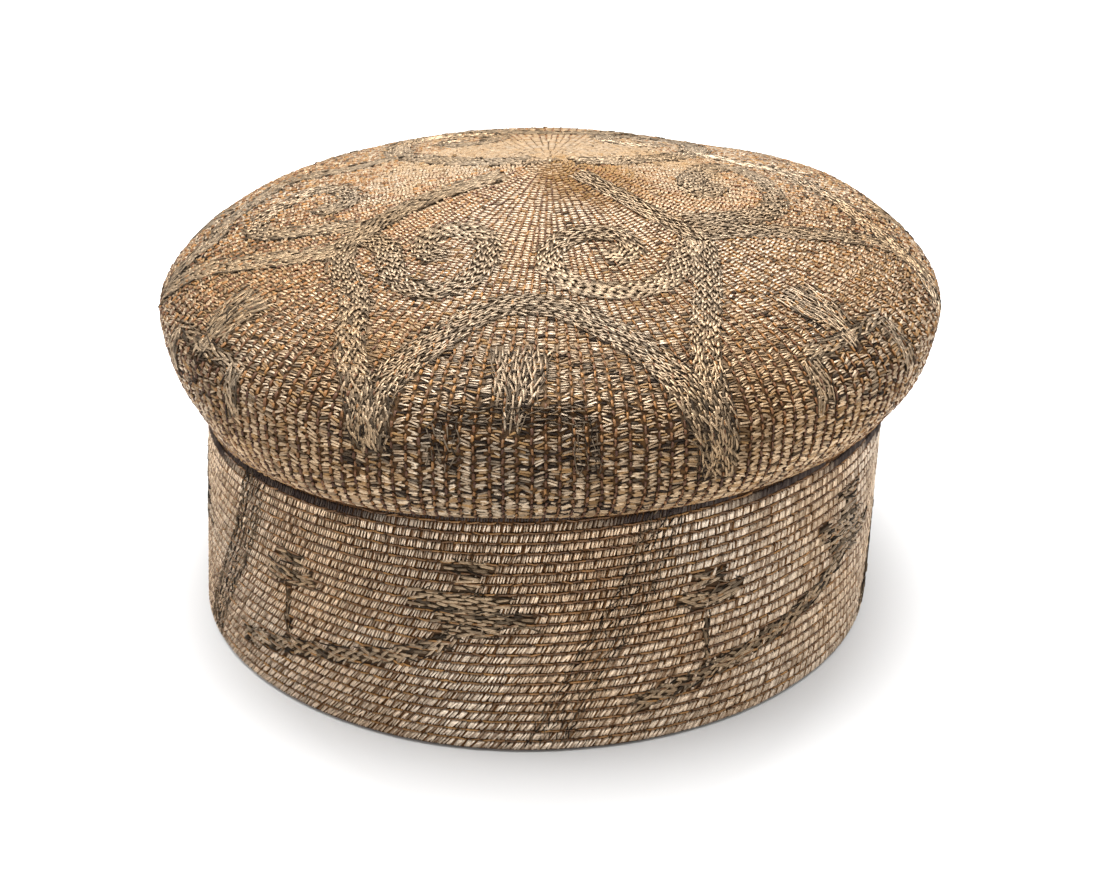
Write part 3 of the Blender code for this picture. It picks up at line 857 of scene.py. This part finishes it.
def threadGroup():
    labels = ("Dull", "Bright", "TarnishedAndShaded", "DyedAndShaded", "Stain")
    group, source, target = newGroup(
        "threadTone", [(label, "NodeSocketColor", (0.4, 0.3, 0.2, 1)) for label in labels],
        [("Color", "NodeSocketColor"), ("Roughness", "NodeSocketFloat"), ("Metallic", "NodeSocketFloat"),
         ("Height", "NodeSocketFloat")])
    look = addNode(group, "ShaderNodeAttribute", attribute_name="thread")
    parts = addNode(group, "ShaderNodeSeparateColor", [(0, look.outputs["Color"])])
    position = addNode(group, "ShaderNodeTexCoord").outputs["Object"]
    patches = spread(group, noise(group, position, 26.0, 3.0), 0.38, 0.62, 0.0, 1.0)
    grain = noise(group, position, 1400.0, 1.0)
    lay = addNode(group, "ShaderNodeAttribute", attribute_name="lay").outputs["Vector"]
    inside = addNode(group, "ShaderNodeSeparateXYZ", [(0, lay)])
    angle = calculated(group, "MULTIPLY", inside.outputs[1], math.pi)
    plies = calculated(group, "ABSOLUTE", calculated(group, "SINE", angle))     # two plies along each strand
    mottle = spread(group, grain, 0.3, 0.7, -0.25, 0.25)
    tone = calculated(group, "ADD", parts.outputs[0], mottle, use_clamp=True)
    colour = mixed(group, tone, source.outputs["Dull"], source.outputs["Bright"])
    stained = mixed(group, 1.0, colour, source.outputs["Stain"], "MULTIPLY")
    colour = mixed(group, spread(group, patches, 0.0, 1.0, 0.0, 0.55), colour, stained)
    colour = mixed(group, parts.outputs[1], colour, source.outputs["TarnishedAndShaded"])
    colour = mixed(group, parts.outputs[2], colour, source.outputs["DyedAndShaded"])
    # painted shade in the groove between the two plies, multiplied into the colour
    groove = spread(group, plies, 0.0, 0.55, 0.35, 1.0)
    shade = addNode(group, "ShaderNodeCombineColor", [(0, groove), (1, groove), (2, groove)]).outputs[0]
    group.links.new(mixed(group, 1.0, colour, shade, "MULTIPLY"), target.inputs["Color"])
    worn = calculated(group, "MAXIMUM", parts.outputs[1], parts.outputs[2])
    group.links.new(spread(group, worn, 0.0, 1.0, 0.46, 0.75), target.inputs["Roughness"])
    group.links.new(spread(group, parts.outputs[2], 0.0, 1.0, 0.75, 0.1), target.inputs["Metallic"])
    group.links.new(calculated(group, "ADD", plies, grain), target.inputs["Height"])
    return group


def addBump(tree, shader, height, strength, distance):
    sockets = [("Height", height), ("Strength", strength), ("Distance", distance)]
    bump = addNode(tree, "ShaderNodeBump", sockets)
    tree.links.new(bump.outputs[0], shader.inputs["Normal"])


def newMaterial(name):
    material = bpy.data.materials.new(name)
    material.use_nodes = True
    return material, material.node_tree, material.node_tree.nodes["Principled BSDF"]


threadTone = threadGroup()


def threadMaterial(name, colours):
    material, tree, shader = newMaterial(name)
    tone = addNode(tree, "ShaderNodeGroup", node_tree=threadTone)
    for label, value in colours.items():
        tone.inputs[label].default_value = (*value, 1)
    tree.links.new(tone.outputs["Color"], shader.inputs["Base Color"])
    tree.links.new(tone.outputs["Roughness"], shader.inputs["Roughness"])
    tree.links.new(tone.outputs["Metallic"], shader.inputs["Metallic"])
    addBump(tree, shader, tone.outputs["Height"], 0.35, 0.2 * mm)
    return material


def clothMaterial(name, light, dark, crest, shadow):
    # two tones in fine grain, one more on the top of the cap, and painted shade under the embroidery
    material, tree, shader = newMaterial(name)
    shader.inputs["Roughness"].default_value = 0.85
    shader.inputs["Specular IOR Level"].default_value = 0.15
    position = addNode(tree, "ShaderNodeTexCoord").outputs["Object"]
    grain = noise(tree, position, 900.0, 3.0)
    colour = mixed(tree, spread(tree, grain, 0.35, 0.65, 0, 1), (*dark, 1), (*light, 1))
    height = addNode(tree, "ShaderNodeSeparateXYZ", [(0, position)]).outputs[2]
    colour = mixed(tree, spread(tree, height, 0.094, 0.112, 0, 1), colour, (*crest, 1))
    under = addNode(tree, "ShaderNodeAttribute", attribute_name="under").outputs["Fac"]
    tree.links.new(mixed(tree, under, colour, (*shadow, 1)), shader.inputs["Base Color"])
    addBump(tree, shader, grain, 0.5, 0.3 * mm)
    return material


giltThread = threadMaterial("giltThread", {
    "Dull": (0.43, 0.315, 0.21), "Bright": (0.86, 0.71, 0.54), "TarnishedAndShaded": (0.030, 0.019, 0.013),
    "Stain": (0.90, 0.74, 0.52), "DyedAndShaded": (0.33, 0.185, 0.065)})
# its dyed colour is near black: red dye with painted shade under the lip
silverThread = threadMaterial("silverThread", {
    "Dull": (0.33, 0.245, 0.17), "Bright": (1.0, 0.86, 0.71), "TarnishedAndShaded": (0.17, 0.08, 0.027),
    "Stain": (0.84, 0.68, 0.48), "DyedAndShaded": (0.014, 0.003, 0.002)})
scrollThread = threadMaterial("scrollThread", {
    "Dull": (0.28, 0.205, 0.135), "Bright": (0.61, 0.475, 0.335), "TarnishedAndShaded": (0.024, 0.016, 0.010),
    "Stain": (0.90, 0.76, 0.54), "DyedAndShaded": (0.3, 0.15, 0.05)})
goldSilk = threadMaterial("goldSilk", {
    "Dull": (0.16, 0.06, 0.015), "Bright": (0.42, 0.20, 0.05), "TarnishedAndShaded": (0.06, 0.019, 0.006),
    "Stain": (0.75, 0.58, 0.42), "DyedAndShaded": (0.1, 0.02, 0.01)})
brownSilk = threadMaterial("brownSilk", {
    "Dull": (0.15, 0.065, 0.016), "Bright": (0.38, 0.19, 0.05), "TarnishedAndShaded": (0.06, 0.025, 0.012),
    "Stain": (0.75, 0.60, 0.45), "DyedAndShaded": (0.1, 0.02, 0.01)})
for silk in (goldSilk, brownSilk):
    shader = silk.node_tree.nodes["Principled BSDF"]
    silk.node_tree.links.remove(shader.inputs["Metallic"].links[0])
    shader.inputs["Metallic"].default_value = 0.0
giltCloth = clothMaterial(
    "giltCloth", (0.10, 0.05, 0.018), (0.03, 0.014, 0.006), (0.44, 0.30, 0.18), (0.09, 0.06, 0.036))
brownCloth = clothMaterial(
    "brownCloth", (0.09, 0.04, 0.014), (0.03, 0.014, 0.006), (0.09, 0.04, 0.014), (0.06, 0.038, 0.022))
innerCloth = clothMaterial(
    "innerCloth", (0.30, 0.20, 0.13), (0.20, 0.13, 0.08), (0.26, 0.17, 0.11), (0.26, 0.17, 0.11))
madeOf = (
    (giltThread, crownPieces), (silverThread, bandPieces), (goldSilk, [crownSilk]), (brownSilk, [bandSilk]),
    (scrollThread, [crownScrolls, bandScrolls]), (giltCloth, [crownCloth]), (brownCloth, [bandCloth]),
    (innerCloth, [crownCloth, bandCloth]),      # on the inside of both
)
for material, pieces in madeOf:
    for piece in pieces:
        piece.data.materials.append(material)
print("materials:", len(bpy.data.materials))

for piece in (crownCloth, crownScrolls, crownSilk, *crownPieces):
    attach(piece, "root")
for piece in (bandCloth, bandScrolls, bandSilk, *bandPieces):
    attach(piece, "root")
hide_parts("crown")
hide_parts("band")


# Pale floor, studio light, camera
floorLook = {
    "shown": (0.58, 0.58, 0.58), "bounce": (0.70, 0.68, 0.65),
    # painted light: for the camera the floor glows, more away from the cap and sooner at its sides, so it
    # stays darker near the cap
    "stretch": (1.5, 1, 1), "glowFrom": 0.12, "glowTo": 0.30, "glow": 1.0,
}


def makeFloor():
    form = bmesh.new()
    bmesh.ops.create_grid(form, x_segments=1, y_segments=1, size=6)
    mesh = bpy.data.meshes.new("floor")
    form.to_mesh(mesh)
    form.free()
    floor = linked("floor", mesh)
    material, tree, shader = newMaterial("paleFloor")
    toCamera = addNode(tree, "ShaderNodeLightPath").outputs["Is Camera Ray"]
    grey = mixed(tree, toCamera, (*floorLook["bounce"], 1), (*floorLook["shown"], 1))
    tree.links.new(grey, shader.inputs["Base Color"])
    position = addNode(tree, "ShaderNodeTexCoord").outputs["Object"]
    sockets = [(0, position), (1, floorLook["stretch"])]
    stretched = addNode(tree, "ShaderNodeVectorMath", sockets, operation="MULTIPLY").outputs[0]
    away = addNode(tree, "ShaderNodeVectorMath", [(0, stretched)], operation="LENGTH").outputs["Value"]
    glow = spread(tree, away, floorLook["glowFrom"], floorLook["glowTo"], 0.0, floorLook["glow"])
    tree.links.new(calculated(tree, "MULTIPLY", glow, toCamera), shader.inputs["Emission Strength"])
    shader.inputs["Emission Color"].default_value = (1, 1, 1, 1)
    shader.inputs["Roughness"].default_value = 0.9
    mesh.materials.append(material)


def softLight(name, place, target, size, power):
    light = bpy.data.lights.new(name, "AREA")
    light.shape = "RECTANGLE"
    light.size, light.size_y = size
    light.energy = power
    lamp = linked(name, light)
    lamp.location = place
    lamp.rotation_euler = (Vector(target) - Vector(place)).to_track_quat("-Z", "Y").to_euler()


makeFloor()
softLight("lightTop", (0.0, 0.05, 1.1), (0, 0, 0.05), (1.2, 1.0), 34)
softLight("lightLeft", (-1.1, 0.1, 0.40), (0, 0, 0.05), (0.8, 0.5), 4.6)
softLight("lightRight", (1.1, 0.1, 0.45), (0, 0, 0.05), (0.8, 0.5), 3.9)
softLight("lightFront", (0.0, -1.3, 0.22), (0, 0, 0.04), (1.0, 0.4), 6.5)
world = bpy.data.worlds.new("studio")
world.use_nodes = True
world.node_tree.nodes["Background"].inputs["Color"].default_value = (0.34, 0.34, 0.34, 1)
bpy.context.scene.world = world

camera = linked("camera", bpy.data.cameras.new("camera"))
camera.data.lens = 72.29
camera.data.shift_x = 0.0045
camera.data.shift_y = -0.0447
camera.location = (-0.0015, -0.5446, 0.3068)
lean = Matrix.Rotation(math.pi / 2 - 0.433, 3, "X") @ Matrix.Rotation(-0.009, 3, "Z")
camera.rotation_euler = lean.to_euler()
bpy.context.scene.camera = camera
bpy.context.scene.view_settings.view_transform = "Standard"
